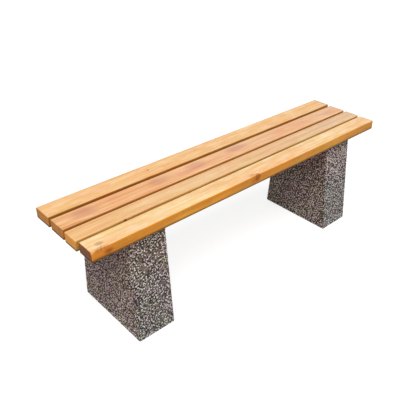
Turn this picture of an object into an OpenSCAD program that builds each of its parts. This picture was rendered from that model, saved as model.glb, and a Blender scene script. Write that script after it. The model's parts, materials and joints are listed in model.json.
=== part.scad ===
// Backless garden bench. Four timber planks lie on two concrete pedestals.
// Steel angles bolted along the top of each pedestal hold the planks from below.
// X runs along the seat, -Y is the front and +Z is up.
// The origin is at the middle of the footprint, on the ground.

/* [Seat] */
// Length of the planks
seat_length = 1500; // [1400:10:2400]
// Height of the top of the seat above the ground
seat_height = 465; // [400:1:520]
// Thickness of the planks
plank_thickness = 42; // [34:1:60]
// Widths of the planks, from the back one to the front one
plank_widths = [86, 82, 70, 73]; // [60:1:95]
// Gaps between the planks, from the back one to the front one
plank_gaps = [14, 10, 9]; // [6:1:18]
// Radius of the rounded long edges of the planks
plank_edge_radius = 5; // [1:0.5:12]

/* [Pedestals] */
// Distance between the middles of the two pedestals
pedestal_spacing = 1050; // [850:10:1100]
// Width of a pedestal, along the seat
pedestal_width = 160; // [130:1:200]
// Depth of a pedestal on the ground
pedestal_base_depth = 360; // [330:1:420]
// Depth of a pedestal under the planks
pedestal_top_depth = 290; // [280:1:320]

/* [Reinforcement] */
// Concrete between the outside and the nearest steel
concrete_cover = 25; // [20:1:30]
// Diameter of the upright bars
bar_diameter = 8; // [6:1:10]
// Diameter of the wire of the stirrups
stirrup_diameter = 6; // [4:1:6]
// Number of stirrups in each pedestal
stirrup_count = 3; // [2:1:4]

/* [Fixings] */
// Width of both legs of the steel angles
angle_leg = 30; // [28:1:40]
// Thickness of the steel angles
angle_thickness = 3; // [3:1:4]
// Distance between the two bolts of an angle
anchor_spacing = 160; // [140:5:170]
// Depth of the sockets cast into the concrete
socket_depth = 45; // [35:1:50]
// Length of the screws under their heads
plank_screw_length = 32; // [25:1:32]

/* [Hidden] */
$fn = 64;
eps = 0.01;

PLANK_COLOURS = ["#DDA766", "#CF9160", "#CFA268", "#E3B476"];
CONCRETE_COLOUR = "#7D7168";
ZINC_COLOUR = "#A9ADB0";
RAW_STEEL_COLOUR = "#6B5A4E";

// M8 bolt, its washer and its cast-in socket
bolt_radius = 4;
bolt_length = 25;
bolt_head_across_flats = 13;
bolt_head_height = 5.3;
bolt_hole_radius = 4.5;
bolt_washer_inner_radius = 4.2;
bolt_washer_radius = 8;
washer_thickness = 1.6;
socket_radius = 6.5;
socket_thread_depth = 30;
socket_flange_radius = 9;
socket_flange_height = 4;

// 6 mm hexagon-head wood screw and its washer
screw_radius = 3;
screw_tip_length = 6;
screw_head_across_flats = 10;
screw_head_height = 4;
screw_hole_radius = 3.5;
screw_washer_inner_radius = 3.2;
screw_washer_radius = 6;

pedestal_height = seat_height - plank_thickness;
seat_depth = plank_widths[0] + plank_widths[1] + plank_widths[2] + plank_widths[3]
    + plank_gaps[0] + plank_gaps[1] + plank_gaps[2];
plank_gaps_from_back = concat(plank_gaps, 0);

// Back edge and middle line of a plank, counted from the back
function plank_back_y(i) = i == 0
    ? seat_depth / 2
    : plank_back_y(i - 1) - plank_widths[i - 1] - plank_gaps_from_back[i - 1];
function plank_middle_y(i) = plank_back_y(i) - plank_widths[i] / 2;

// Half the depth of a pedestal at a height above the ground
batter = (pedestal_base_depth - pedestal_top_depth) / 2 / pedestal_height;
batter_angle = atan(batter);
function half_depth(z) = pedestal_base_depth / 2 - batter * z;

// Angles: each entry is which pedestal, and which way the angle faces along X
ANGLE_PLACES = [[-1, -1], [-1, 1], [1, -1], [1, 1]];
angle_length = pedestal_top_depth - 8;
angle_fillet_radius = 4;
anchor_drop = (angle_leg + angle_thickness) / 2 + 1;
screw_reach = (angle_leg + angle_thickness) / 2 + 2;
screw_limit = angle_length / 2 - 15;
SCREW_YS = [for (i = [0:3]) max(-screw_limit, min(screw_limit, plank_middle_y(i)))];
ANCHOR_YS = [-anchor_spacing / 2, anchor_spacing / 2];

// Reinforcement cage: the stirrups run round the outside of the upright bars
bar_radius = bar_diameter / 2;
stirrup_radius = stirrup_diameter / 2;
stirrup_bend_radius = 15;
tie_gap = 0.5;
stirrup_half_width = pedestal_width / 2 - concrete_cover - stirrup_radius;
function stirrup_half_depth(z) = half_depth(z) - concrete_cover - stirrup_radius;
bar_inset = stirrup_bend_radius
    - (stirrup_bend_radius - stirrup_radius - bar_radius - tie_gap) / sqrt(2);
bar_bottom = concrete_cover;
bar_top = pedestal_height - concrete_cover;
bar_length = (bar_top - bar_bottom) / cos(batter_angle);
stirrup_bottom = 2 * concrete_cover;
stirrup_top = pedestal_height - 2 * concrete_cover;
stirrup_pitch = (stirrup_top - stirrup_bottom) / (stirrup_count - 1);
STIRRUP_ZS = [for (i = [0:stirrup_count - 1]) stirrup_bottom + i * stirrup_pitch];

// Outline of a plank's cross-section, with its lower back corner at the origin
module plank_outline(width) {
    r = plank_edge_radius;
    translate([r, 0])
        square([width - 2 * r, plank_thickness]);
    translate([0, r])
        square([width, plank_thickness - 2 * r]);
    for (x = [r, width - r], y = [r, plank_thickness - r])
        translate([x, y])
            circle(r);
}

module plank(i) {
    color(PLANK_COLOURS[i])
        difference() {
            translate([-seat_length / 2, plank_back_y(i) - plank_widths[i], pedestal_height])
                rotate([90, 0, 90])
                    linear_extrude(seat_length)
                        plank_outline(plank_widths[i]);
            for (place = [0:3])
                at_angle(place)
                    screw_shank(i);
        }
}

// Moves its children to one pedestal, -1 for the left one and 1 for the right one
module at_pedestal(side) {
    translate([side * pedestal_spacing / 2, 0, 0])
        children();
}

// Frame of one angle: the origin is on the pedestal's top edge and +X points out of its face
module at_angle(place) {
    facing = ANGLE_PLACES[place][1];
    at_pedestal(ANGLE_PLACES[place][0])
        translate([facing * pedestal_width / 2, 0, pedestal_height])
            mirror([facing < 0 ? 1 : 0, 0, 0])
                children();
}

module pedestal(side) {
    color(CONCRETE_COLOUR)
        difference() {
            at_pedestal(side)
                translate([-pedestal_width / 2, 0, 0])
                    rotate([90, 0, 90])
                        linear_extrude(pedestal_width)
                            polygon([
                                [-pedestal_base_depth / 2, 0],
                                [pedestal_base_depth / 2, 0],
                                [pedestal_top_depth / 2, pedestal_height],
                                [-pedestal_top_depth / 2, pedestal_height],
                            ]);
            bar_set(side);
            stirrup_set(side);
            for (place = [0:3])
                if (ANGLE_PLACES[place][0] == side)
                    at_angle(place)
                        socket_bodies();
        }
}

// Four upright bars, leaning in with the faces of the pedestal
module bar_set(side) {
    bar_x = stirrup_half_width - bar_inset;
    bar_y = stirrup_half_depth(bar_bottom) - bar_inset;
    at_pedestal(side)
        for (x = [-bar_x, bar_x], lean = [-1, 1])
            translate([x, lean * bar_y, bar_bottom])
                rotate([lean * batter_angle, 0, 0])
                    cylinder(h = bar_length, r = bar_radius);
}

module upright_bars(side) {
    color(RAW_STEEL_COLOUR)
        bar_set(side);
}

// One closed rectangular loop of round wire, with bent corners
module stirrup(half_width, half_depth) {
    leg_x = half_width - stirrup_bend_radius;
    leg_y = half_depth - stirrup_bend_radius;
    for (s = [-1, 1]) {
        translate([-leg_x, s * half_depth, 0])
            rotate([0, 90, 0])
                cylinder(h = 2 * leg_x, r = stirrup_radius);
        translate([s * half_width, leg_y, 0])
            rotate([90, 0, 0])
                cylinder(h = 2 * leg_y, r = stirrup_radius);
    }
    for (corner = [0:3]) {
        x = (corner == 0 || corner == 3) ? leg_x : -leg_x;
        y = corner < 2 ? leg_y : -leg_y;
        translate([x, y, 0])
            rotate([0, 0, 90 * corner])
                rotate_extrude(angle = 90)
                    translate([stirrup_bend_radius, 0])
                        circle(stirrup_radius);
    }
}

module stirrup_set(side) {
    at_pedestal(side)
        for (z = STIRRUP_ZS)
            translate([0, 0, z])
                stirrup(stirrup_half_width, stirrup_half_depth(z));
}

module stirrups(side) {
    color(RAW_STEEL_COLOUR)
        stirrup_set(side);
}

// Moves its children to each anchor of an angle, with +Z pointing out of the concrete
module at_anchors() {
    for (y = ANCHOR_YS)
        translate([0, y, -anchor_drop])
            rotate([0, 90, 0])
                children();
}

// Outside of the cast-in sockets: a barrel with a flange at its buried end
module socket_bodies() {
    at_anchors()
        translate([0, 0, -socket_depth]) {
            cylinder(h = socket_depth, r = socket_radius);
            cylinder(h = socket_flange_height, r = socket_flange_radius);
        }
}

module sockets(place) {
    color(ZINC_COLOUR)
        at_angle(place)
            difference() {
                socket_bodies();
                at_anchors()
                    translate([0, 0, -socket_thread_depth])
                        cylinder(h = socket_thread_depth + eps, r = bolt_radius);
            }
}

// Cross-section of an angle, with its inside corner rounded
module angle_outline() {
    r = angle_fillet_radius;
    t = angle_thickness;
    difference() {
        translate([0, -angle_leg])
            square(angle_leg);
        translate([t + r, -angle_leg - eps])
            square([angle_leg, angle_leg + eps - t]);
        translate([t, -angle_leg - eps])
            square([angle_leg, angle_leg + eps - t - r]);
        translate([t + r, -t - r])
            circle(r);
    }
}

module angle(place) {
    color(ZINC_COLOUR)
        at_angle(place)
            difference() {
                translate([0, angle_length / 2, 0])
                    rotate([90, 0, 0])
                        linear_extrude(angle_length)
                            angle_outline();
                at_anchors()
                    translate([0, 0, -eps])
                        cylinder(h = angle_thickness + 2 * eps, r = bolt_hole_radius);
                for (y = SCREW_YS)
                    translate([screw_reach, y, -angle_thickness - eps])
                        cylinder(h = angle_thickness + 2 * eps, r = screw_hole_radius);
            }
}

module hexagon_head(across_flats, height) {
    cylinder(h = height, r = across_flats / 2 / cos(30), $fn = 6);
}

module washer(radius, inner_radius) {
    difference() {
        cylinder(h = washer_thickness, r = radius);
        translate([0, 0, -eps])
            cylinder(h = washer_thickness + 2 * eps, r = inner_radius);
    }
}

module bolts(place) {
    color(ZINC_COLOUR)
        at_angle(place)
            at_anchors()
                translate([0, 0, angle_thickness + washer_thickness]) {
                    hexagon_head(bolt_head_across_flats, bolt_head_height);
                    translate([0, 0, -bolt_length])
                        cylinder(h = bolt_length, r = bolt_radius);
                }
}

module bolt_washers(place) {
    color(ZINC_COLOUR)
        at_angle(place)
            at_anchors()
                translate([0, 0, angle_thickness])
                    washer(bolt_washer_radius, bolt_washer_inner_radius);
}

// Moves its children under the angle at one plank, with +Z pointing up into the plank
module at_screw(i) {
    translate([screw_reach, SCREW_YS[i], -angle_thickness - washer_thickness])
        children();
}

module screw_shank(i) {
    straight = plank_screw_length - screw_tip_length;
    at_screw(i) {
        cylinder(h = straight, r = screw_radius);
        translate([0, 0, straight])
            cylinder(h = screw_tip_length, r1 = screw_radius, r2 = 0);
    }
}

module screws(place) {
    color(ZINC_COLOUR)
        at_angle(place)
            for (i = [0:3]) {
                screw_shank(i);
                at_screw(i)
                    mirror([0, 0, 1])
                        hexagon_head(screw_head_across_flats, screw_head_height);
            }
}

module screw_washers(place) {
    color(ZINC_COLOUR)
        at_angle(place)
            for (i = [0:3])
                at_screw(i)
                    washer(screw_washer_radius, screw_washer_inner_radius);
}

plank(0);  // plank_back
plank(1);  // plank_mid_back
plank(2);  // plank_mid_front
plank(3);  // plank_front

pedestal(-1);  // pedestal_left
pedestal(1);  // pedestal_right
upright_bars(-1);  // upright_bars_left
upright_bars(1);  // upright_bars_right
stirrups(-1);  // stirrups_left
stirrups(1);  // stirrups_right

sockets(0);  // sockets_left_outer
sockets(1);  // sockets_left_inner
sockets(2);  // sockets_right_inner
sockets(3);  // sockets_right_outer

angle(0);  // angle_left_outer
angle(1);  // angle_left_inner
angle(2);  // angle_right_inner
angle(3);  // angle_right_outer

bolts(0);  // bolts_left_outer
bolts(1);  // bolts_left_inner
bolts(2);  // bolts_right_inner
bolts(3);  // bolts_right_outer

bolt_washers(0);  // bolt_washers_left_outer
bolt_washers(1);  // bolt_washers_left_inner
bolt_washers(2);  // bolt_washers_right_inner
bolt_washers(3);  // bolt_washers_right_outer

screws(0);  // screws_left_outer
screws(1);  // screws_left_inner
screws(2);  // screws_right_inner
screws(3);  // screws_right_outer

screw_washers(0);  // screw_washers_left_outer
screw_washers(1);  // screw_washers_left_inner
screw_washers(2);  // screw_washers_right_inner
screw_washers(3);  // screw_washers_right_outer
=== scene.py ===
import json
import math

import bpy
import numpy as np
from mathutils import Matrix, Vector
from mathutils.geometry import delaunay_2d_cdt


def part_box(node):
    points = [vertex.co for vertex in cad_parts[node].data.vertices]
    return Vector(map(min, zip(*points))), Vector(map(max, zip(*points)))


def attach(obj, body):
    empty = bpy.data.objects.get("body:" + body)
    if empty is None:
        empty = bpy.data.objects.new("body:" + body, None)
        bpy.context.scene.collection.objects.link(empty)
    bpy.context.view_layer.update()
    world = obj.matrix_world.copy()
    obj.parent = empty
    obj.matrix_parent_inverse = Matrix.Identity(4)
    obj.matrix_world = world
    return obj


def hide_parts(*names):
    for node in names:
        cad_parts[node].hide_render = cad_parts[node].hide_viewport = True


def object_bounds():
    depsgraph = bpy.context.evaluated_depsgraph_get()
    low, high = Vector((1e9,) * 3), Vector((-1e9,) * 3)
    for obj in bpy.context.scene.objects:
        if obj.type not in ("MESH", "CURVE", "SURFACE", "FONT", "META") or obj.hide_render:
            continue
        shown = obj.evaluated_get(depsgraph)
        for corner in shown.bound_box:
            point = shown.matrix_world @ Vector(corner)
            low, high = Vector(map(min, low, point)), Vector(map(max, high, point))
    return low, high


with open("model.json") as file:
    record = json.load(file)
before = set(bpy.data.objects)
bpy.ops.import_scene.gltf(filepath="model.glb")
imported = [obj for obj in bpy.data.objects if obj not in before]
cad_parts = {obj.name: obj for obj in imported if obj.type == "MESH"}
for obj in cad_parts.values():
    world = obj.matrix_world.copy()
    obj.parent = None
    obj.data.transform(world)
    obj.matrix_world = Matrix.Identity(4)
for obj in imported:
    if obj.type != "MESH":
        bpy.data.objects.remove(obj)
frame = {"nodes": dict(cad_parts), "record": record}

# A garden bench without a back: four varnished pine planks on two pedestals of washed concrete, and the
# steel that holds them together from below. X runs along the bench, -Y is its front and +Z is up.

MM = 0.001
BODY = "root"
CAD_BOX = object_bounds()
LOW, HIGH = CAD_BOX
MIDDLE = (LOW + HIGH) / 2
LENGTH = HIGH.x - LOW.x
PLANKS = ["plank_back", "plank_mid_back", "plank_mid_front", "plank_front"]
PEDESTALS = ["pedestal_left", "pedestal_right"]
SLOTS = {part["node"]: part["material_slot"] for part in frame["record"]["subparts"]}
WHITE = (1, 1, 1)


# ---------------------------------------------------------------- camera

AZIMUTH, ELEVATION, ROLL = (math.radians(angle) for angle in (42.65, 30.15, 0.53))
# From the middle of the bench to the camera, in lengths of the bench
CAMERA_OFFSET = Vector((-0.89813, -0.90327, 0.81047))
SENSOR_MM = 36.0
LENS_MM = 48.438
# How far the frame is moved across the lens, as shares of its width
LENS_SHIFT = (-0.03, -0.04)


def add_camera():
    """A standing person's view of the bench, from its front left corner."""
    forward = Vector((math.sin(AZIMUTH) * math.cos(ELEVATION),
                      math.cos(AZIMUTH) * math.cos(ELEVATION),
                      -math.sin(ELEVATION)))
    level = Vector((math.cos(AZIMUTH), -math.sin(AZIMUTH), 0))
    rise = level.cross(forward)
    right = math.cos(ROLL) * level + math.sin(ROLL) * rise
    up = math.cos(ROLL) * rise - math.sin(ROLL) * level
    turn = Matrix((right, up, -forward)).transposed()
    camera = bpy.data.objects.new("camera", bpy.data.cameras.new("camera"))
    bpy.context.scene.collection.objects.link(camera)
    camera.matrix_world = Matrix.Translation(MIDDLE + CAMERA_OFFSET * LENGTH) @ turn.to_4x4()
    camera.data.sensor_width = SENSOR_MM
    camera.data.lens = LENS_MM
    camera.data.shift_x, camera.data.shift_y = LENS_SHIFT
    bpy.context.scene.camera = camera


# ---------------------------------------------------------------- light and floor

SKY_STRENGTH = 0.60
BACKDROP_STRENGTH = 1.0
KEY_STRENGTH = 2.35
KEY_SPREAD = math.radians(35)
TOWARDS_KEY = Vector((-0.26, -0.43, 0.87))
FLOOR_REACH = 30 * LENGTH
FLOOR_COLOUR = (0.35, 0.35, 0.35)
FLOOR_ROUGHNESS = 0.9
FLOOR_GLOW = 0.74


def add_light():
    """An even sky, a white backdrop that only the view sees, and one soft light above the front left."""
    world = bpy.data.worlds.new("studio")
    bpy.context.scene.world = world
    world.use_nodes = True
    tree = world.node_tree
    tree.nodes.clear()
    path = tree.nodes.new("ShaderNodeLightPath")
    choose = tree.nodes.new("ShaderNodeMixShader")
    output = tree.nodes.new("ShaderNodeOutputWorld")
    tree.links.new(path.outputs["Is Camera Ray"], choose.inputs[0])
    for entry, strength in ((1, SKY_STRENGTH), (2, BACKDROP_STRENGTH)):
        background = tree.nodes.new("ShaderNodeBackground")
        background.inputs["Color"].default_value = (*WHITE, 1)
        background.inputs["Strength"].default_value = strength
        tree.links.new(background.outputs[0], choose.inputs[entry])
    tree.links.new(choose.outputs[0], output.inputs["Surface"])

    key = bpy.data.objects.new("key_light", bpy.data.lights.new("key_light", "SUN"))
    bpy.context.scene.collection.objects.link(key)
    key.data.energy = KEY_STRENGTH
    key.data.angle = KEY_SPREAD
    key.rotation_mode = "QUATERNION"
    key.rotation_quaternion = TOWARDS_KEY.to_track_quat("Z", "Y")
    bpy.context.scene.view_settings.view_transform = "Standard"


def add_floor():
    """A plain pale floor that reaches the horizon, and glows a little so that its shadows stay faint."""
    corners = [(-FLOOR_REACH, -FLOOR_REACH), (FLOOR_REACH, -FLOOR_REACH),
               (FLOOR_REACH, FLOOR_REACH), (-FLOOR_REACH, FLOOR_REACH)]
    mesh = bpy.data.meshes.new("floor")
    mesh.from_pydata([(x, y, LOW.z) for x, y in corners], [], [(0, 1, 2, 3)])
    floor = bpy.data.objects.new("floor", mesh)
    bpy.context.scene.collection.objects.link(floor)
    graph = Graph("pale_floor")
    glow = graph.times(graph.add("LightPath"), FLOOR_GLOW)
    graph.surface(FLOOR_COLOUR, FLOOR_ROUGHNESS, more={"Emission Color": WHITE, "Emission Strength": glow})
    mesh.materials.append(graph.material)


# ---------------------------------------------------------------- node graphs

class Graph:
    """A material's node tree. Most calls add nodes to it and return an output socket."""

    def __init__(self, name):
        self.material = bpy.data.materials.new(name)
        self.material.use_nodes = True
        self.tree = self.material.node_tree
        self.tree.nodes.clear()
        self.output = self.tree.nodes.new("ShaderNodeOutputMaterial")

    def put(self, socket, value):
        """Links a socket to an output, or gives it a fixed number, vector or colour."""
        if isinstance(value, bpy.types.NodeSocket):
            self.tree.links.new(value, socket)
        elif isinstance(value, (tuple, list)) and socket.type == "RGBA":
            socket.default_value = (*value[:3], 1)
        else:
            socket.default_value = value

    def add(self, kind, inputs=(), out=0, **settings):
        """A new node with these inputs and settings, and the output of it that is wanted."""
        node = self.tree.nodes.new("ShaderNode" + kind)
        for name, value in settings.items():
            setattr(node, name, value)
        for key, value in dict(inputs).items():
            self.put(node.inputs[key], value)
        return node.outputs[out]

    def math(self, operation, a, b=0.0):
        return self.add("Math", {0: a, 1: b}, operation=operation)

    def plus(self, a, b):
        return self.math("ADD", a, b)

    def minus(self, a, b):
        return self.math("SUBTRACT", a, b)

    def times(self, a, b):
        return self.math("MULTIPLY", a, b)

    def swing(self, noise, size):
        """A noise between 0 and 1 as a swing of this size about 0."""
        return self.times(self.minus(noise, 0.5), size)

    def vector(self, operation, a, b=(0, 0, 0), out=0):
        return self.add("VectorMath", {0: a, 1: b}, out, operation=operation)

    def distance(self, place, centre, scale):
        """How far a place lies from a centre, with x, y and z scaled."""
        offset = self.vector("SUBTRACT", place, centre)
        return self.vector("LENGTH", self.vector("MULTIPLY", offset, scale), out=1)

    def place(self):
        """Where a point lies on its piece, in metres and in the frame of the bench."""
        return self.add("TexCoord", out=3)

    def normal(self):
        """The x, y and z of the direction in which the surface faces."""
        return self.split(self.add("NewGeometry", out=1))

    def split(self, vector):
        node = self.tree.nodes.new("ShaderNodeSeparateXYZ")
        self.put(node.inputs[0], vector)
        return node.outputs

    def join(self, x, y, z):
        return self.add("CombineXYZ", {0: x, 1: y, 2: z})

    def stretch(self, vector, scale, offset=(0, 0, 0)):
        return self.add("Mapping", {"Vector": vector, "Scale": scale, "Location": offset})

    def noise(self, vector, scale, detail=2.0, roughness=0.5, out="Fac"):
        inputs = {"Vector": vector, "Scale": scale, "Detail": detail, "Roughness": roughness}
        return self.add("TexNoise", inputs, out)

    def mix(self, amount, a, b, blend="MIX"):
        return self.add("Mix", {0: amount, 6: a, 7: b}, 2, data_type="RGBA", blend_type=blend)

    def tint(self, amount, colour, by):
        """A colour multiplied by another one, as far as amount says."""
        return self.mix(amount, colour, self.mix(1.0, colour, by, "MULTIPLY"))

    def smooth(self, value, start, end, low=0.0, high=1.0):
        """low up to start, high from end on, and a smooth step between them."""
        inputs = {"Value": value, "From Min": start, "From Max": end, "To Min": low, "To Max": high}
        return self.add("MapRange", inputs, interpolation_type="SMOOTHSTEP")

    def bump(self, height, depth):
        return self.add("Bump", {"Height": height, "Distance": depth})

    def surface(self, base, roughness, normal=None, more=()):
        inputs = {"Base Color": base, "Roughness": roughness, **dict(more)}
        if normal is not None:
            inputs["Normal"] = normal
        shader = self.add("BsdfPrincipled", inputs)
        self.tree.links.new(shader, self.output.inputs["Surface"])


def srgb(red, green, blue):
    """A colour picked on a screen, 0 to 255, as the linear colour that shaders use."""
    def linear(value):
        value /= 255
        return value / 12.92 if value <= 0.04045 else ((value + 0.055) / 1.055) ** 2.4
    return tuple(linear(value) for value in (red, green, blue))


# ---------------------------------------------------------------- pieces

def add_piece(name, points, faces, flat_from, material):
    """A new object from points and faces, smooth shaded, except for the faces from flat_from on."""
    mesh = bpy.data.meshes.new(name)
    mesh.from_pydata([tuple(point) for point in points], [], faces)
    smooth = np.ones(len(mesh.polygons), bool)
    smooth[flat_from:] = False
    mesh.polygons.foreach_set("use_smooth", smooth)
    mesh.validate()
    mesh.materials.append(material)
    piece = bpy.data.objects.new(name, mesh)
    bpy.context.scene.collection.objects.link(piece)
    return piece


def stand_for(piece, node):
    """Puts a piece in the place of a CAD node."""
    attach(piece, BODY)
    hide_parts(node)


# ---------------------------------------------------------------- planks: shape

PLANK_SEED = 17
EDGE_RADIUS = 5 * MM
EDGE_POINTS = 6
END_POINTS = 5
END_RADIUS = 2.2 * MM
ACROSS_STEP = 3 * MM
# The rings of points lie closer together near the ends, where the shape changes more
END_ZONE = 60 * MM
END_STEP = 2.5 * MM
MIDDLE_STEP = 9 * MM
# How far the side and the top wander, and the longest and the shortest of their waves, in metres
SIDE_WANDER, SIDE_WAVES = 0.5 * MM, (1.7, 0.23)
TOP_WANDER, TOP_WAVES = 0.35 * MM, (1.3, 0.17)
# How much short of the full length each plank is sawn at its left and its right end, in millimetres
END_INSETS = {"plank_back": (0.5, 0.0), "plank_mid_back": (1.0, 4.5),
              "plank_mid_front": (0.0, 5.0), "plank_front": (5.0, 3.5)}

# One plank's top corner at the front left is worn round, with a short ragged dent in the edge beside it
WORN_PLANK = "plank_front"
WORN_END_RADIUS = 4.5 * MM
WORN_REACH = 120 * MM
WORN_SIZE = np.array([15, 13, 15]) * MM
WORN_INWARD = np.array([1, 1, -1])
WORN_SHARE = 0.30
DENT_PLACE, DENT_HALF_LENGTH, DENT_RADIUS, DENT_DEPTH = 38 * MM, 19 * MM, 11 * MM, 5 * MM
DENT_INWARD = np.array([0, 0.8, -0.7])
COARSE_SPLINTER, FINE_SPLINTER = 2.1 * MM, 0.9 * MM


def plank_outline(width, height):
    """Points round a plank's cross-section, counter-clockwise seen from +X, and their outward normals."""
    points, normals = [], []
    radius = EDGE_RADIUS
    corners = [(width - radius, radius, -90), (width - radius, height - radius, 0),
               (radius, height - radius, 90), (radius, radius, 180)]
    for index, (y, z, start) in enumerate(corners):
        for angle in np.radians(np.linspace(start, start + 90, EDGE_POINTS)):
            normal = (math.cos(angle), math.sin(angle))
            points.append((y + radius * normal[0], z + radius * normal[1]))
            normals.append(normal)
        next_y, next_z, _ = corners[(index + 1) % 4]
        first = np.array(points[-1])
        last = np.array((next_y + radius * normal[0], next_z + radius * normal[1]))
        count = max(2, int(np.linalg.norm(last - first) / ACROSS_STEP))
        for share in np.arange(1, count) / count:
            points.append(tuple(first + share * (last - first)))
            normals.append(normal)
    return np.array(points), np.array(normals)


def waves(x, rng, longest, shortest, count=5):
    """A smooth wandering line along x, between about -1 and 1."""
    total = np.zeros_like(x)
    for length in np.geomspace(longest, shortest, count):
        total += rng.uniform(0.4, 1) * np.sin(2 * math.pi * (x / length + rng.random()))
    return total / count


def worn_corner(points, corner):
    """Rounds a plank's top corner, and presses a short ragged dent into the edge beside it."""
    offset = points - corner
    depth = np.clip(1.0 - np.abs(offset / WORN_SIZE).sum(axis=1), 0, None)
    points = points + depth[:, None] * WORN_INWARD * WORN_SIZE * WORN_SHARE
    along_edge = np.abs(offset[:, 0] - DENT_PLACE) / DENT_HALF_LENGTH
    from_edge = np.hypot(offset[:, 1], offset[:, 2]) / DENT_RADIUS
    dent = np.clip(1 - along_edge ** 2, 0, 1) ** 0.5 * np.clip(1 - from_edge ** 2, 0, 1)
    coarse = np.sin(offset[:, 0] / COARSE_SPLINTER)
    fine = np.sin(offset[:, 0] / FINE_SPLINTER + 1)
    dent *= 1 + 0.25 * coarse + 0.15 * fine
    return points + dent[:, None] * DENT_INWARD * DENT_DEPTH


def plank_mesh(node, seed):
    """A plank with rounded edges, eased ends, and faces that wander a little along their length."""
    rng = np.random.default_rng(seed)
    low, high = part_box(node)
    width, height = high.y - low.y, high.z - low.z
    outline, normals = plank_outline(width, height)
    worn = node == WORN_PLANK
    ease = WORN_END_RADIUS if worn else END_RADIUS
    left_inset, right_inset = (inset * MM for inset in END_INSETS[node])
    start, end = low.x + left_inset, high.x - right_inset
    body = np.concatenate([np.arange(start + ease, start + END_ZONE, END_STEP),
                           np.arange(start + END_ZONE, end - END_ZONE, MIDDLE_STEP),
                           np.arange(end - END_ZONE, end - ease, END_STEP), [end - ease]])
    turn = np.radians(np.linspace(0, 90, END_POINTS))
    falling, rising = turn[:0:-1], turn[1:]
    xs = np.concatenate([start + ease * (1 - np.sin(falling)), body, end - ease + ease * np.sin(rising)])
    shrink = np.concatenate([ease * (1 - np.cos(falling)), np.zeros(len(body)), ease * (1 - np.cos(rising))])

    side = waves(xs, rng, *SIDE_WAVES) * SIDE_WANDER
    crown = waves(xs, rng, *TOP_WAVES) * TOP_WANDER
    rings = []
    for x, cut, shift, lift in zip(xs, shrink, side, crown):
        ring = outline - normals * cut
        upper = np.clip(ring[:, 1] / height, 0, 1)
        ring = ring + np.stack([shift * np.ones(len(ring)), (lift - TOP_WANDER) * upper], axis=1)
        rings.append(np.column_stack([np.full(len(ring), x), low.y + ring[:, 0], low.z + ring[:, 1]]))
    points = np.concatenate(rings)
    if worn:
        corner = np.array([start, low.y, high.z])
        near = np.abs(points - corner).max(axis=1) < WORN_REACH
        points[near] = worn_corner(points[near], corner)

    count, around = len(xs), len(outline)
    faces = []
    for i in range(count - 1):
        for j in range(around):
            k = (j + 1) % around
            faces.append((i * around + j, i * around + k, (i + 1) * around + k, (i + 1) * around + j))
    faces.append(tuple(reversed(range(around))))
    faces.append(tuple(range((count - 1) * around, count * around)))
    return points, faces


# ---------------------------------------------------------------- planks: timber

# Tints multiply the colour of the timber beneath them
GREY_STAIN = (0.80, 0.72, 0.86)
PINK_STAIN = (1.0, 0.86, 0.92)
# Long edges: amber on the outside of the bench, and painted shade, darker, in the gaps and on most undersides
AMBER = (0.93, 0.56, 0.12)
SHADED = (0.56, 0.36, 0.12)
# Ends and edges gone grey, painted shade along the bottom of the long edges, and cooler patches on them
WEATHERED = (0.68, 0.80, 1.04)
BOTTOM_EDGE_SHADE = (0.30, 0.32, 0.34)
EDGE_PATCHES = (0.84, 0.93, 1.0)
# Pale patches in the timber
DULL_MOTTLE = (1.04, 1.09, 1.20)
LIVELY_MOTTLE = (1.06, 1.16, 1.50)
KNOT_LIGHT, KNOT_DARK = srgb(192, 116, 46), srgb(148, 80, 26)
# How far the grain bends, in slow waves and in small ripples, and how much the log slopes
GRAIN_WANDER = (0, 0.022, 0.022)
GRAIN_RIPPLE = (0, 0.003, 0.003)
LOG_SLOPE = 0.010
FIBRE_TINT = (0.80, 0.70, 0.55)
FLUSH_TINT = (0.98, 0.84, 0.78)
NOISE_MIDDLE = (0.5, 0.5, 0.5)
TIMBER_RELIEF = 0.25 * MM
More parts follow.
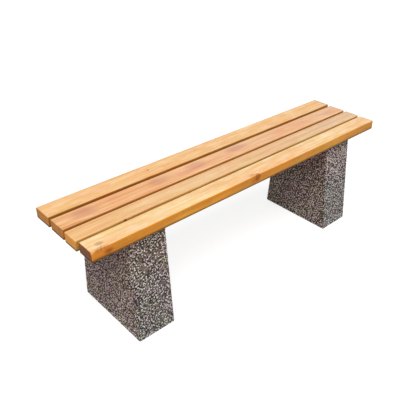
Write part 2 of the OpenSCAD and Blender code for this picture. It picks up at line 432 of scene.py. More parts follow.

# front and back are painted shade on edges that face a gap, and back also on the undersides but plank_back's
# What sets each plank's timber apart:
#   top, late: the colours of the soft and the hard part of a growth ring
#   pith: where the log's centre lies from the plank's middle, in y and z
#   spacing: the width of a growth ring
#   mottle: the tint of the pale patches
#   knots: share along, share across from the front, share of the height, radius
#   stains: the same three shares, half length, half width, strength, tint
#   front, back, end: the tints of the long edges and of the sawn ends, and back is also the underside's
#   fade: the tint that the wood takes on gradually towards its right end
#   weathered: axis, share along that axis, reach and strength of each end or edge that has gone grey
TIMBER = {
    "plank_back": dict(
        top=srgb(239, 201, 142), late=srgb(224, 166, 97), pith=(0.070, -0.060), spacing=0.0030, seed=3.1,
        mottle=LIVELY_MOTTLE,
        knots=[(0.292, 0.5, 0.95, 0.006)],
        stains=[(0.13, 0.5, 1.0, 0.10, 0.03, 0.6, PINK_STAIN),
                # the second stain is painted shadow: a dark, cool patch at the back of the left end
                (0.0, 1.05, 0.4, 0.012, 0.026, 1.0, (0.52, 0.80, 1.15))],
        # front is painted shade, for the gap in front of this plank
        front=(0.54, 0.33, 0.12), back=AMBER, end=(0.94, 0.57, 0.175), fade=(0.97, 1.0, 1.06),
        weathered=[(1, 1.0, 8 * MM, 0.7), (0, 1.0, 15 * MM, 1.0), (0, 0.0, 4 * MM, 0.6)]),
    "plank_mid_back": dict(
        top=srgb(238, 190, 136), late=srgb(210, 147, 98), pith=(-0.045, -0.055), spacing=0.0028, seed=11.7,
        stains=[(0.071, 0.60, 1.0, 0.060, 0.030, 1.0, GREY_STAIN),
                (0.150, 0.70, 1.0, 0.045, 0.026, 0.6, PINK_STAIN),
                (0.274, 0.58, 1.0, 0.060, 0.030, 0.9, GREY_STAIN),
                (0.401, 0.60, 1.0, 0.050, 0.029, 0.8, GREY_STAIN),
                (0.370, 0.40, 1.0, 0.080, 0.030, 0.8, PINK_STAIN),
                (0.545, 0.62, 1.0, 0.070, 0.028, 0.9, GREY_STAIN),
                (0.720, 0.50, 1.0, 0.060, 0.030, 0.6, PINK_STAIN),
                (0.800, 0.50, 1.0, 0.080, 0.030, 0.6, PINK_STAIN),
                (0.940, 0.40, 1.0, 0.060, 0.020, 0.6, GREY_STAIN)],
        # front and back are painted shade, for the gaps on either side of this plank
        front=(0.62, 0.42, 0.13), back=SHADED, end=(0.93, 0.64, 0.21), fade=(0.97, 1.08, 1.35),
        weathered=[(0, 1.0, 19 * MM, 1.0), (0, 0.0, 4 * MM, 0.6)]),
    "plank_mid_front": dict(
        top=srgb(238, 198, 144), late=srgb(215, 167, 109), pith=(0.085, -0.050), spacing=0.0034, seed=23.9,
        knots=[(0.123, 0.02, 0.85, 0.006)],
        stains=[(0.55, 0.5, 1.0, 0.10, 0.03, 0.8, (0.93, 0.98, 0.86)),
                (0.86, 0.5, 1.0, 0.12, 0.03, 0.8, (0.92, 0.93, 1.0)),
                (0.13, 0.6, 1.0, 0.07, 0.02, 0.8, (0.93, 0.96, 0.86)),
                (0.70, 0.5, 1.0, 0.05, 0.02, 0.7, PINK_STAIN)],
        # front and back are painted shade, for the gaps on either side of this plank
        front=(0.78, 0.62, 0.27), back=SHADED, end=(1.12, 0.80, 0.27), fade=(0.92, 1.02, 1.32),
        weathered=[(0, 1.0, 18 * MM, 0.9)]),
    "plank_front": dict(
        top=srgb(242, 212, 158), late=srgb(228, 179, 115), pith=(-0.075, -0.060), spacing=0.0036, seed=41.3,
        mottle=LIVELY_MOTTLE,
        knots=[(0.4855, 0.03, 0.72, 0.013), (0.30, 0.98, 0.9, 0.006)],
        stains=[(0.472, 0.14, 1.0, 0.030, 0.020, 1.0, (0.80, 0.62, 0.62)),
                (0.472, 0.0, 0.5, 0.032, 0.018, 1.0, (0.86, 0.62, 0.45)),
                (0.06, 0.2, 1.0, 0.05, 0.02, 0.6, PINK_STAIN),
                (0.56, 0.5, 1.0, 0.04, 0.016, 0.3, PINK_STAIN),
                (0.08, -0.28, 0.4, 0.22, 0.040, 1.0, (1.08, 0.84, 0.50)),
                (0.34, -0.28, 0.4, 0.22, 0.040, 0.9, (1.22, 1.16, 0.90)),
                (0.96, -0.28, 0.4, 0.22, 0.040, 1.0, (0.84, 0.82, 0.84)),
                # the last five tint the front left corner and the dent beside it, all but the first darker
                (0.005, 0.0, 0.75, 0.013, 0.016, 0.5, (0.95, 0.90, 1.5)),
                (0.028, 0.0, 0.90, 0.034, 0.013, 1.0, (0.50, 0.40, 0.40)),
                (0.020, 0.0, 0.10, 0.050, 0.013, 0.9, (0.70, 0.66, 0.60)),
                (0.032, 0.33, 1.0, 0.018, 0.011, 1.0, (0.68, 0.58, 0.48)),
                (0.044, 0.0, 0.50, 0.024, 0.014, 1.0, (0.56, 0.42, 0.30))],
        # back is painted shade, for the gap behind this plank and for its underside
        front=AMBER, back=SHADED, end=(0.30, 0.155, 0.095), fade=(0.99, 0.99, 1.03),
        weathered=[(0, 1.0, 17 * MM, 1.0)]),
}


def spot(node, along, across, up):
    """The point at these shares of a plank's length, of its width from the front, and of its height."""
    low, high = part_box(node)
    return tuple(first + share * (last - first)
                 for first, last, share in zip(low, high, (along, across, up)))


def bend_grain(graph, place, seed):
    """Places bent by the slow wander and the small ripples of the grain, and the ripples alone."""
    wander = graph.noise(graph.stretch(place, (0.9, 3, 3), (seed, 0, 0)), 1.6, out="Color")
    wander = graph.vector("SUBTRACT", wander, NOISE_MIDDLE)
    ripple = graph.noise(graph.stretch(place, (6, 30, 30), (0, seed, 0)), 1.4, out="Color")
    ripple = graph.vector("SUBTRACT", ripple, NOISE_MIDDLE)
    bent = graph.vector("ADD", place, graph.vector("MULTIPLY", wander, GRAIN_WANDER))
    bent = graph.vector("ADD", bent, graph.vector("MULTIPLY", ripple, GRAIN_RIPPLE))
    return bent, ripple


def ring_radius(graph, node, bent, pith):
    """How far each point lies from the log's centre, which slopes a little along the plank."""
    low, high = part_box(node)
    middle = (low + high) / 2
    x, y, z = graph.split(bent)
    lean = graph.times(x, LOG_SLOPE)
    from_pith = graph.join(0.0, graph.minus(y, middle.y + pith[0]),
                           graph.minus(graph.plus(z, lean), middle.z + pith[1]))
    return graph.vector("LENGTH", from_pith, out=1)


def bend_round_knots(graph, node, knots, place, radius, ripple):
    """The radius with the rings bent round each knot, and a mask of the knots themselves."""
    mask = 0.0
    for along, across, up, size in knots:
        centre = spot(node, along, across, up)
        near = graph.distance(place, centre, (0.42 / size, 1 / size, 0.8 / size))
        bulge = graph.math("EXPONENT", graph.times(graph.math("POWER", near, 2.0), -0.45))
        radius = graph.plus(radius, graph.times(bulge, 1.1 * size))
        core = graph.distance(place, centre, (0.8 / size, 1 / size, 0.7 / size))
        core = graph.plus(core, graph.times(graph.split(ripple)[0], 0.5))
        mask = graph.math("MAXIMUM", graph.smooth(core, 1.05, 0.6), mask)
    return radius, mask


def add_stains(graph, node, stains, colour, place, cloud, streak):
    """Stains that soaked in under the varnish, a painted shadow at one plank's end, and darker patches about
    a worn corner, with ragged rims that follow the grain.
    """
    for along, across, up, long, wide, strength, tint in stains:
        near = graph.distance(place, spot(node, along, across, up), (1 / long, 1 / wide, 1 / wide))
        near = graph.plus(near, graph.swing(cloud, 1.6))
        near = graph.plus(near, graph.swing(streak, 0.5))
        colour = graph.tint(graph.smooth(near, 1.15, 0.2, 0.0, strength), colour, tint)
    return colour


def add_wear_and_shade(graph, node, weathered, colour, place, patch, under):
    """Painted shade along the bottom of the long edges, and ends and edges that have gone grey."""
    low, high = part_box(node)
    # Painted shade: the bottom of the long edges is darkened, but not on the undersides
    level = graph.plus(graph.split(place)[2], graph.times(patch, 6 * MM))
    bottom_shade = graph.smooth(level, low.z + 16 * MM, low.z + 8 * MM)
    bottom_shade = graph.times(bottom_shade, graph.minus(1.0, under))
    colour = graph.tint(graph.times(bottom_shade, 0.9), colour, BOTTOM_EDGE_SHADE)
    for axis, share, reach, strength in weathered:
        limit = low[axis] + share * (high[axis] - low[axis])
        inward = graph.math("ABSOLUTE", graph.minus(graph.split(place)[axis], limit))
        inward = graph.plus(inward, graph.swing(patch, reach))
        colour = graph.tint(graph.smooth(inward, reach, 0.2 * reach, 0.0, strength), colour, WEATHERED)
    return colour


def wood_material(node, top, late, pith, spacing, seed, end, fade, front, back, stains, weathered,
                  knots=(), mottle=DULL_MOTTLE):
    """Varnished pine cut from a log: growth rings, fibres, knots, stains and wear, with painted shade in the
    gaps, under the planks and along their bottom edges, and a painted shadow at one end.
    """
    graph = Graph("wood_" + node)
    low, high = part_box(node)
    place = graph.place()
    bent, ripple = bend_grain(graph, place, seed)
    radius = ring_radius(graph, node, bent, pith)
    radius, knot_mask = bend_round_knots(graph, node, knots, place, radius, ripple)

    along_grain = graph.times(graph.split(bent)[0], 1.2)
    uneven = graph.noise(graph.join(graph.times(radius, 160.0), along_grain, seed), 1.0, 2, 0.6)
    phase = graph.plus(graph.math("DIVIDE", radius, spacing), graph.times(uneven, 1.5))
    ring = graph.math("FRACT", phase)
    late_wood = graph.times(graph.smooth(ring, 0.25, 0.88), graph.smooth(ring, 1.0, 0.94))
    fibre = graph.noise(graph.stretch(place, (5, 420, 420), (seed, 0, 0)), 1.0, 3, 0.6)
    streak = graph.noise(graph.stretch(place, (1.6, 75, 75), (0, 0, seed)), 1.0, 3, 0.6)
    cloud = graph.noise(graph.stretch(place, (4, 16, 16), (0, seed, seed)), 1.0)
    blotch = graph.noise(graph.stretch(place, (14, 45, 45), (seed, seed, 0)), 1.0, 3, 0.6)
    patch = graph.noise(graph.stretch(place, (7, 10, 10), (0, 0, seed)), 1.0, 3, 0.55)
    brush = graph.noise(graph.stretch(place, (9, 60, 60)), 1.0)

    colour = graph.mix(graph.times(late_wood, graph.smooth(streak, 0.2, 0.7, 0.35, 0.9)), top, late)
    colour = graph.mix(graph.smooth(streak, 0.42, 0.72, 0.0, 0.6), colour, late)
    colour = graph.tint(graph.smooth(fibre, 0.3, 0.75, 0.0, 0.75), colour, FIBRE_TINT)
    colour = graph.tint(graph.smooth(cloud, 0.35, 0.7, 0.0, 0.8), colour, FLUSH_TINT)
    colour = graph.tint(graph.smooth(blotch, 0.42, 0.66), colour, mottle)
    share = graph.math("DIVIDE", graph.minus(graph.split(place)[0], low.x), high.x - low.x)
    colour = graph.tint(share, colour, fade)
    colour = add_stains(graph, node, stains, colour, place, cloud, streak)
    if knots:
        knot_ring = graph.math("FRACT", graph.times(radius, 330.0))
        knot_colour = graph.mix(knot_ring, KNOT_LIGHT, KNOT_DARK)
        colour = graph.mix(graph.times(knot_mask, 0.75), colour, knot_colour)

    normal = graph.normal()
    on_front = graph.smooth(normal[1], -0.45, -0.85)
    on_back = graph.smooth(normal[1], 0.45, 0.85)
    on_end = graph.smooth(graph.math("ABSOLUTE", normal[0]), 0.45, 0.85)
    under = graph.smooth(normal[2], -0.4, -0.8)
    # On the edges in the gaps and on most undersides these tints are painted shade
    for amount, tint in ((on_front, front), (on_back, back), (under, back), (on_end, end)):
        colour = graph.tint(amount, colour, tint)
    on_edge = graph.math("MAXIMUM", on_front, on_back)
    colour = graph.tint(graph.times(on_edge, graph.smooth(patch, 0.35, 0.65)), colour, EDGE_PATCHES)
    colour = add_wear_and_shade(graph, node, weathered, colour, place, patch, under)

    relief = graph.plus(graph.times(late_wood, 0.6), graph.times(fibre, 0.5))
    shape = graph.bump(graph.plus(relief, graph.times(brush, 1.2)), TIMBER_RELIEF)
    roughness = graph.plus(graph.smooth(fibre, 0.3, 0.8, 0.30, 0.46), graph.times(on_end, 0.2))
    varnish = {"Coat Weight": 0.08, "Coat Roughness": 0.3, "Specular IOR Level": 0.22}
    graph.surface(colour, roughness, shape, varnish)
    return graph.material


def add_planks():
    for index, node in enumerate(PLANKS):
        points, faces = plank_mesh(node, PLANK_SEED + index)
        sawn_ends = len(faces) - 2
        piece = add_piece(node + "_timber", points, faces, sawn_ends, wood_material(node, **TIMBER[node]))
        stand_for(piece, node)


# ---------------------------------------------------------------- washed concrete: shape

PEDESTAL_SEED = 101
CORNER_RADIUS = 5 * MM
# Height of the chamfers between the pebbled sides and the plain foot and top
RIM = 2 * MM
# Largest and smallest radius of each size of pebble in millimetres, and how many places are tried for it
STONE_SIZES = [(3.7, 3.2, 1000), (3.2, 2.7, 6000), (2.7, 2.25, 26000), (2.25, 1.85, 60000)]
SEARCH_CELL = 8 * MM
# Squared distance of two pebbles over the square of the sum of their radii
TOO_CLOSE, BESIDE = 0.74, 1.6
LIGHTNESS_TRIES = 6
# Levels outside the true face, in millimetres: of the cement, of the cement at a rim, and of the pebbles
CEMENT_LEVELS = (-2.3, -1.6)
RIM_LEVEL = -2.0
STONE_LEVELS = (-0.75, -0.15)
PEBBLE_TILT = 0.09
# Pebbles above this radius get a shoulder: its place as a share of the way from the middle to the rim,
# how far below the middle it lies in millimetres, and its highest level
LARGE_STONE = 3.0 * MM
SHOULDER_PLACES = (0.56, 0.70)
SHOULDER_DROPS = (0.27, 0.45)
SHOULDER_HIGHEST = -0.1 * MM
# How far in the plain foot and top start, and how far the top stays below the planks
CAST_INSET = 3.6 * MM
TOP_CLEARANCE = 0.3 * MM
# How far past the edges of the unrolled sides stones are copied, to close the pattern there
MARGIN = 22 * MM
# Distances, in metres, within which places count as the same or as lying on an edge
TINY = 1e-9
NEAR_EDGE, ON_EDGE = 1e-6, 1e-7
SAME_POINT = 1e-4 * MM


def scatter_stones(around, height, rng):
    """Places of pebbles on the unrolled sides of a pedestal, the large ones first.

    Each is u, z, radius and lightness, 0 to 1. A pebble is unlike the ones that already lie beside it.
    """
    columns = int(around / SEARCH_CELL)
    grid = {}
    placed = []
    for large, small, tries in STONE_SIZES:
        us, zs = rng.uniform(0, around, tries), rng.uniform(0, height, tries)
        radii = rng.uniform(small, large, tries) * MM
        picks = rng.random((tries, LIGHTNESS_TRIES))
        for u, z, radius, pick in zip(us.tolist(), zs.tolist(), radii.tolist(), picks.tolist()):
            column, row = int(u / around * columns), int(z / SEARCH_CELL)
            near = [other for i in (-1, 0, 1) for j in (-1, 0, 1)
                    for other in grid.get(((column + i) % columns, row + j), ())]
            free = True
            beside = []
            for other_u, other_z, other_radius, other_lightness in near:
                gap = abs(u - other_u)
                gap = min(gap, around - gap)
                apart = (gap * gap + (z - other_z) ** 2) / (radius + other_radius) ** 2
                if apart < TOO_CLOSE:
                    free = False
                if apart < BESIDE:
                    beside.append(other_lightness)
            if free:
                mean = sum(beside) / len(beside) if beside else 0.5
                lightness = max(pick, key=lambda value: abs(value - mean))
                stone = (u, z, radius, lightness)
                grid.setdefault((column, row), []).append(stone)
                placed.append(stone)
    placed = np.array(placed)
    placed[:, 3] = np.argsort(np.argsort(placed[:, 3])) / len(placed)
    return placed


def stone_cells(stones, around, height):
    """The Voronoi cell of each stone on the unrolled sides.

    Returns, for each corner in order round each cell, the stone that it belongs to and its (u, z). The
    corners are the centres of the circles through the triangles between stones. Stones mirrored at the
    foot and at the top keep those edges straight, and copied ones join the two ends of u.
    """
    sites = stones[:, :2]
    sites = np.concatenate([sites, sites * (1, -1), sites * (1, -1) + (0, 2 * height)])
    sites = sites[(sites[:, 1] > -MARGIN) & (sites[:, 1] < height + MARGIN)]
    first, last = sites[sites[:, 0] < MARGIN], sites[sites[:, 0] > around - MARGIN]
    sites = np.concatenate([sites, first + (around, 0), last - (around, 0)])
    _, _, faces, source, _, _ = delaunay_2d_cdt([Vector(site) for site in sites], [], [], 0, TINY)
    where = np.array([group[0] if group else -1 for group in source])
    triangles = where[np.array(faces)]
    a, b, c = (sites[triangles[:, i]] for i in range(3))
    ab, ac = b - a, c - a
    twice_area = 2 * (ab[:, 0] * ac[:, 1] - ab[:, 1] * ac[:, 0])
    ab2, ac2 = (ab ** 2).sum(1), (ac ** 2).sum(1)
    centre = np.column_stack([ac[:, 1] * ab2 - ab[:, 1] * ac2, ab[:, 0] * ac2 - ac[:, 0] * ab2])
    centre = a + centre / twice_area[:, None]
    for edge in (0, height):
        centre[np.abs(centre[:, 1] - edge) < NEAR_EDGE, 1] = edge
    owner = triangles.ravel()
    corner = np.repeat(centre, 3, axis=0)
    keep = owner < len(stones)
    owner, corner = owner[keep], corner[keep]
    angle = np.arctan2(corner[:, 1] - sites[owner, 1], corner[:, 0] - sites[owner, 0])
    order = np.lexsort((angle, owner))
    return owner[order], corner[order]


class Block:
    """The sides of a pedestal: a rectangle with rounded corners that narrows in y with height."""

    def __init__(self, node):
        low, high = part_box(node)
        vertices = frame["nodes"][node].data.vertices
        top_ys = [vertex.co.y for vertex in vertices if vertex.co.z > high.z - 0.1 * MM]
        self.low = low
        self.middle = (low + high) / 2
        self.height = high.z - low.z
        self.half_x = (high.x - low.x) / 2
        self.base_half = (high.y - low.y) / 2
        self.top_half = (max(top_ys) - min(top_ys)) / 2
        self.batter = math.atan((self.base_half - self.top_half) / self.height)
        front = 2 * (self.half_x - CORNER_RADIUS)
        side = 2 * ((self.base_half + self.top_half) / 2 - CORNER_RADIUS)
        arc = math.pi / 2 * CORNER_RADIUS
        self.marks = np.cumsum([0, front, arc, side, arc, front, arc, side, arc])
        self.around = self.marks[-1]

    def point(self, u, z, lift):
        """Points at u round the sides and z above the ground, lift outside the true face."""
        u = np.mod(u, self.around)
        across = np.interp(u, self.marks, [-1, 1, 1, 1, 1, -1, -1, -1, -1])
        deep = np.interp(u, self.marks, [-1, -1, -1, 1, 1, 1, 1, -1, -1])
        turn = np.radians(np.interp(u, self.marks, [-90, -90, 0, 0, 90, 90, 180, 180, 270]))
        cos, sin = np.cos(turn), np.sin(turn)
        half_x = self.half_x - CORNER_RADIUS
        half_y = self.base_half + (self.top_half - self.base_half) * z / self.height - CORNER_RADIUS
        x = self.middle.x + across * half_x + (CORNER_RADIUS + lift) * cos
        y = self.middle.y + deep * half_y + (CORNER_RADIUS + lift * math.cos(self.batter)) * sin
        up = lift * math.sin(self.batter) * np.abs(sin)
        return np.column_stack([x, y, self.low.z + z + up])

    def on_side(self, u):
        """Whether u lies on a side face or a corner, not on the front or the back."""
        return u % (self.around / 2) > self.marks[1]


def cells_by_sides(owner, corner, ids):
    """Groups the cells by their number of sides, without the doubled corners where four cells meet."""
    starts = np.flatnonzero(np.r_[True, owner[1:] != owner[:-1]])
    before = np.arange(len(owner)) - 1
    before[starts] = np.r_[starts[1:], len(owner)] - 1
    keep = ids != ids[before]
    owner, corner, ids = owner[keep], corner[keep], ids[keep]
    starts = np.flatnonzero(np.r_[True, owner[1:] != owner[:-1]])
    sides = np.diff(np.r_[starts, len(owner)])
    for count in np.unique(sides[sides > 2]):
        rows = starts[sides == count][:, None] + np.arange(count)
        yield count, owner[rows[:, 0]], corner[rows], ids[rows]


# Share and colour of each kind of pebble, from dark to light
STONE_COLOURS = [
    (0.29, srgb(66, 61, 58)),
    (0.12, srgb(112, 104, 98)),
    (0.08, srgb(146, 121, 102)),
    (0.13, srgb(140, 132, 124)),
    (0.05, srgb(164, 140, 135)),
    (0.15, srgb(188, 180, 169)),
    (0.18, srgb(240, 233, 222)),
]
# The cement's own colour, painted darker with the shade of the hollows between the pebbles
CEMENT_AND_SHADE_COLOUR = srgb(74, 66, 62)
CAST_COLOUR = srgb(142, 137, 130)
# How much of its own hue a pebble keeps, the rest being the mean hue of all of them
HUE_KEPT = 0.25
# How much pebbles of one kind differ, in brightness and in hue
BRIGHTNESS_SPREAD, HUE_SPREAD = 0.18, 0.03
DARKEST_STONE, LIGHTEST_STONE = 0.012, 0.9
# Contrast between pebbles about a middle tone, first on the front and back, then on the side faces
STONE_CONTRAST = {"pedestal_left": (1.2, 1.6), "pedestal_right": (1.8, 1.4)}
MID_TONE = 0.20
# Painted light and shade: brightness of the pebbles beside that of their kinds, first on the front and back,
# then on the sides
PAINTED_FACE_LIGHT_AND_SHADE = {"pedestal_left": (1.0, 1.03), "pedestal_right": (1.07, 0.98)}


def stone_tones(node, stones, on_side, rng):
    """The colour of each pebble, with the contrast of its face of the pedestal and that face's painted light
    and shade.
    """
    shares = np.array([share for share, _ in STONE_COLOURS])
    palette = np.array([colour for _, colour in STONE_COLOURS])
    kinds = np.searchsorted(np.cumsum(shares)[:-1], stones[:, 3])
    brightness = rng.normal(0, BRIGHTNESS_SPREAD, (len(stones), 1))
    shade = np.exp(brightness + rng.normal(0, HUE_SPREAD, (len(stones), 3)))
    tones = palette[kinds] * shade
    grey = tones.mean(axis=1, keepdims=True)
    mean_hue = (shares @ palette) / (shares @ palette).mean()
    tones = HUE_KEPT * tones + (1 - HUE_KEPT) * grey * mean_hue
    front_contrast, side_contrast = STONE_CONTRAST[node]
    power = np.where(on_side, side_contrast, front_contrast)[:, None]
    spread = np.clip(tones * (grey / MID_TONE) ** (power - 1), DARKEST_STONE, LIGHTEST_STONE)
    # Painted light and shade: each face's pebbles brightened or darkened
    for here, tone in zip((~on_side, on_side), PAINTED_FACE_LIGHT_AND_SHADE[node]):
        spread[here] *= tone * tones[here].mean() / spread[here].mean()
    return spread


def pedestal_mesh(node, seed):
    """A cast block whose sides are close-set pebbles in cement, as one closed mesh.

    Returns its points, its faces, the colour of each face's pebble, how far in from its pebble's edge
    each point lies (0 at the edge, 1 in the middle), and the number of faces on the sides.
    """
    rng = np.random.default_rng(seed)
    block = Block(node)
    height = block.height - 2 * RIM
    stones = scatter_stones(block.around, height, rng)
    owner, corner = stone_cells(stones, block.around, height)

    # Corners that cells share become one point each, sunk to the level of the cement
    key = np.column_stack([np.mod(corner[:, 0] + TINY, block.around), corner[:, 1]]) / SAME_POINT
    _, first, ids = np.unique(np.round(key).astype(np.int64), axis=0, return_index=True, return_inverse=True)
    ids = ids.ravel()
    base = corner[first]
    cement = rng.uniform(*CEMENT_LEVELS, len(base)) * MM
    foot, head = (np.abs(base[:, 1] - edge) < ON_EDGE for edge in (0, height))
    for rim in (foot, head):
        cement[rim] = RIM_LEVEL * MM
    tones = stone_tones(node, stones, block.on_side(stones[:, 0]), rng)

    places, lifts, inset = [base], [cement], [np.zeros(len(base))]
    faces, face_tones = [], []
    total = len(base)
    for count, stone, outline, ring in cells_by_sides(owner, corner, ids):
        # A pebble is a low dome: its rim in the cement, a shoulder if it is large, and its middle
        centre = outline.mean(axis=1)
        arms = outline - centre[:, None]
        top = rng.uniform(*STONE_LEVELS, len(stone)) * MM
        tilt = rng.normal(0, PEBBLE_TILT, (len(stone), 2))
        shoulder = rng.uniform(*SHOULDER_PLACES, (len(stone), count, 1))
        spots = centre[:, None] + arms * shoulder
        drop = rng.uniform(*SHOULDER_DROPS, (len(stone), count)) * MM
        level = top[:, None] - drop + ((spots - centre[:, None]) * tilt[:, None]).sum(2)

        middle_ids = total + np.arange(len(stone))
        places.append(centre)
        lifts.append(top)
        inset.append(np.ones(len(stone)))
        total += len(stone)

        is_large = stones[stone, 2] > LARGE_STONE
        large, small = np.flatnonzero(is_large), np.flatnonzero(~is_large)
        shoulder_ids = total + np.arange(len(large) * count).reshape(-1, count)
        places.append(spots[large].reshape(-1, 2))
        lifts.append(np.minimum(level[large].ravel(), SHOULDER_HIGHEST))
        inset.append(1 - shoulder[large].ravel())
        total += len(large) * count

        after = np.roll(np.arange(count), -1)
        quads = np.stack([ring[large], ring[large][:, after], shoulder_ids[:, after], shoulder_ids], axis=2)
        faces += quads.reshape(-1, 4).tolist()
        face_tones.append(np.repeat(tones[stone[large]], count, axis=0))
        for chosen, rim_ids in ((large, shoulder_ids), (small, ring[small])):
            tips = np.repeat(middle_ids[chosen][:, None], count, axis=1)
            fans = np.stack([rim_ids, rim_ids[:, after], tips], axis=2)
            faces += fans.reshape(-1, 3).tolist()
            face_tones.append(np.repeat(tones[stone[chosen]], count, axis=0))

    place = np.concatenate(places)
    points = [block.point(place[:, 0], place[:, 1] + RIM, np.concatenate(lifts))]
    sided = len(faces)
    for rim, level, above in ((foot, 0.0, False), (head, block.height - TOP_CLEARANCE, True)):
        # A chamfer leads in from the pebbles to the plain foot or top
        loop = np.flatnonzero(rim)
        loop = loop[np.argsort(np.mod(base[loop, 0] + TINY, block.around))]
        count = len(loop)
        spots = block.point(base[loop, 0], np.full(count, level), np.full(count, -CAST_INSET))
        spots[:, 2] = block.low.z + level
        points.append(spots)
        inset.append(np.zeros(count))
        new = total + np.arange(count)
        total += count
        after = np.roll(np.arange(count), -1)
        quads = np.column_stack([loop, new, new[after], loop[after]])
        faces += (quads[:, ::-1] if above else quads).tolist()
        faces.append((new if above else new[::-1]).tolist())
        face_tones.append(np.tile(CEMENT_AND_SHADE_COLOUR, (count + 1, 1)))
    return np.concatenate(points), faces, np.concatenate(face_tones), np.concatenate(inset), sided


# ---------------------------------------------------------------- washed concrete: material

PEBBLE_RELIEF = 0.4 * MM
FLECK_TINT = (0.74, 0.73, 0.73)
DAMP_TINT = (0.80, 0.78, 0.78)
ROSY_TINT, OLIVE_TINT = (1.02, 0.94, 1.0), (0.98, 1.0, 0.93)
# Tints of the side faces, painted warm light; of the foot; and of the upper part, painted light on the front
# and back and painted shade on the sides
PAINTED_SIDE_WARMTH = (1.15, 0.985, 0.93)
FOOT_TINT = (0.97, 1.02, 1.0)
PAINTED_UPPER_FRONT_LIGHT = (1.28, 1.13, 1.09)
PAINTED_UPPER_SIDE_SHADE = (0.93, 0.83, 0.81)


def darker(colour, share):
    """A colour at this share of its brightness."""
    return tuple(share * value for value in colour)


def concrete_material():
    """Pebbles and cement placed by the mesh, with mineral flecks, sand, damp stains and soft wear, and
    painted light and shade on the faces.
    """
    graph = Graph("washed_concrete")
    place = graph.place()
    pebble = graph.tree.nodes.new("ShaderNodeAttribute")
    pebble.attribute_name = "pebble"
    tone, inset = pebble.outputs["Color"], pebble.outputs["Alpha"]
    fleck = graph.noise(place, 700.0, 3, 0.65)
    sand = graph.noise(place, 1500.0, 2, 0.7)
    damp = graph.noise(place, 9.0, 3, 0.55)
    hue = graph.noise(graph.vector("ADD", place, (7.3, 2.1, 5.7)), 14.0)
    wobble = graph.noise(place, 380.0, 2, 0.6)
    sandy = graph.smooth(sand, 0.35, 0.65)

    ragged = graph.plus(inset, graph.swing(fleck, 0.16))
    ragged = graph.plus(ragged, graph.swing(wobble, 0.45))
    is_stone = graph.smooth(ragged, 0.10, 0.19)
    stone = graph.tint(graph.smooth(fleck, 0.35, 0.7), tone, FLECK_TINT)
    # Cement in its own colour and the painted shade of the hollows, with sand
    cement = graph.mix(sandy, CEMENT_AND_SHADE_COLOUR, darker(CEMENT_AND_SHADE_COLOUR, 0.5))
    colour = graph.mix(is_stone, cement, stone)
    rosy = graph.mix(1.0, colour, ROSY_TINT, "MULTIPLY")
    olive = graph.mix(1.0, colour, OLIVE_TINT, "MULTIPLY")
    colour = graph.mix(graph.smooth(hue, 0.35, 0.65), rosy, olive)
    colour = graph.tint(graph.smooth(damp, 0.4, 0.7, 0.0, 0.35), colour, DAMP_TINT)

    normal = graph.normal()
    cast = graph.mix(sandy, CAST_COLOUR, darker(CAST_COLOUR, 0.8))
    colour = graph.mix(graph.smooth(graph.math("ABSOLUTE", normal[2]), 0.90, 0.98), colour, cast)
    on_side = graph.smooth(graph.math("ABSOLUTE", normal[0]), 0.5, 0.8)
    # Painted light: a warm tint on the side faces
    colour = graph.tint(on_side, colour, PAINTED_SIDE_WARMTH)
    height = graph.split(place)[2]
    colour = graph.tint(graph.smooth(height, 0.12, 0.0), colour, FOOT_TINT)
    # Painted light and shade: the upper part brighter on the front and back, darker on the sides
    upper = graph.mix(on_side, PAINTED_UPPER_FRONT_LIGHT, PAINTED_UPPER_SIDE_SHADE)
    colour = graph.tint(graph.smooth(height, 0.15, 0.42), colour, upper)

    polish = graph.times(is_stone, graph.smooth(fleck, 0.3, 0.7, 0.42, 0.28))
    dome = graph.times(graph.smooth(ragged, 0.0, 0.55), 2.4)
    grain = graph.times(graph.plus(sand, fleck), 0.35)
    shape = graph.bump(graph.plus(dome, grain), PEBBLE_RELIEF)
    graph.surface(colour, graph.minus(0.92, polish), shape, {"Specular IOR Level": 0.35})
    return graph.material


def add_pedestals():
    material = concrete_material()
    for index, node in enumerate(PEDESTALS):
        points, faces, tones, inset, sided = pedestal_mesh(node, PEDESTAL_SEED + index)
        piece = add_piece(node + "_concrete", points, faces, sided, material)
        mesh = piece.data
        corners = np.empty(len(mesh.loops), np.int32)
        mesh.loops.foreach_get("vertex_index", corners)
        sizes = np.array([len(face) for face in faces])
        values = np.column_stack([np.repeat(tones, sizes, axis=0), inset[corners]])
        pebble = mesh.attributes.new("pebble", "FLOAT_COLOR", "CORNER")
        pebble.data.foreach_set("color", values.astype(np.float32).ravel())
        stand_for(piece, node)


# ---------------------------------------------------------------- steel

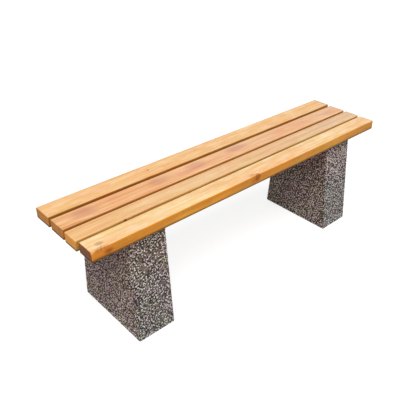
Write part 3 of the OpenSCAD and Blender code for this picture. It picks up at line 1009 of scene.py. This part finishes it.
# Colour, darker colour, roughness, crystals to the metre, and how far rust has spread
COATINGS = {
    "galvanised_steel": (srgb(176, 180, 184), srgb(138, 142, 147), 0.42, 170.0, 0.0),
    "zinc_plated_steel": (srgb(206, 204, 194), srgb(168, 165, 154), 0.30, 700.0, 0.0),
    "raw_steel": (srgb(110, 100, 92), srgb(78, 70, 66), 0.55, 300.0, 0.12),
}
RUST_LIGHT, RUST_DARK = srgb(104, 58, 34), srgb(62, 36, 26)
STEEL_RELIEF = 0.12 * MM
BEVELLED = ("angle_", "bolts_", "screws_", "bolt_washers_", "screw_washers_")
WELD_DISTANCE = 0.01 * MM
BEVEL_WIDTH = 0.35 * MM
BEVEL_ANGLE = math.radians(35)


def steel_material(name, colour, dark, roughness, crystals, rust):
    """Zinc-coated or bare steel: crystal spangle or mill marks, dull patches, and rust where there is any."""
    graph = Graph(name)
    place = graph.place()
    crystal = graph.split(graph.add("TexVoronoi", {"Vector": place, "Scale": crystals}, "Color"))[0]
    patch = graph.noise(place, 55.0, 3, 0.6)
    grain = graph.noise(place, 1400.0, 2, 0.6)
    base = graph.mix(graph.smooth(crystal, 0.1, 0.9), colour, dark)
    base = graph.mix(graph.smooth(patch, 0.45, 0.75, 0.0, 0.5), base, dark)
    if rust:
        eaten = graph.smooth(graph.noise(place, 130.0, 4, 0.65), 0.62 - rust, 0.70)
        base = graph.mix(eaten, base, graph.mix(grain, RUST_LIGHT, RUST_DARK))
    dull = graph.plus(graph.smooth(crystal, 0.0, 1.0, roughness - 0.08, roughness + 0.10),
                      graph.smooth(patch, 0.4, 0.8, 0.0, 0.15))
    shape = graph.bump(graph.plus(grain, patch), STEEL_RELIEF)
    graph.surface(base, dull, shape, {"Metallic": 0.85})
    return graph.material


def dress_steel():
    """Gives the CAD's steel pieces their coatings, and breaks their sharp edges."""
    coats = {name: steel_material(name, *coating) for name, coating in COATINGS.items()}
    for node, piece in frame["nodes"].items():
        if SLOTS[node] not in coats:
            continue
        piece.data.materials.clear()
        piece.data.materials.append(coats[SLOTS[node]])
        if node.startswith(BEVELLED):
            weld = piece.modifiers.new("weld", "WELD")
            weld.merge_threshold = WELD_DISTANCE
            bevel = piece.modifiers.new("bevel", "BEVEL")
            bevel.width = BEVEL_WIDTH
            bevel.segments = 2
            bevel.limit_method = "ANGLE"
            bevel.angle_limit = BEVEL_ANGLE


add_camera()
add_light()
add_floor()
add_planks()
add_pedestals()
dress_steel()
